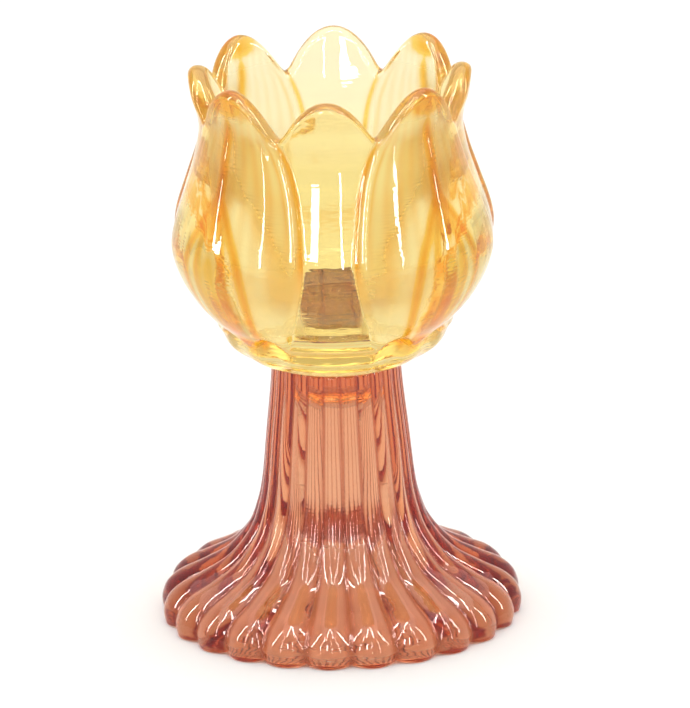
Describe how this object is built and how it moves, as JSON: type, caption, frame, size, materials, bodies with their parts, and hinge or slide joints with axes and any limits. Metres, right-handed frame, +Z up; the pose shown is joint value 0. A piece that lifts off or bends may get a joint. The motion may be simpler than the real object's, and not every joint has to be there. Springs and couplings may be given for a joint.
{
  "type": "tealight holder",
  "caption": "Tulip-shaped clear yellow glass tealight cup bonded onto a fluted, hollow rose glass foot that flares to a scalloped base.",
  "frame": {"origin": "centre of the flat ring that the holder stands on", "axes": "+Z up along the holder's axis, out of the cup's mouth; a narrow petal faces -Y"},
  "size_m": [0.0946, 0.0946, 0.15],
  "materials": {
    "yellow_glass": "fire-polished pressed glass, clear yellow, amber where it is thick",
    "rose_glass": "fire-polished pressed glass, clear rose brown",
    "clear_adhesive": "clear cured adhesive film"
  },
  "bodies": {
    "root": {"tulip_cup": "yellow_glass", "fluted_foot": "rose_glass", "bond_layer": "clear_adhesive"}
  },
  "joints": []
}
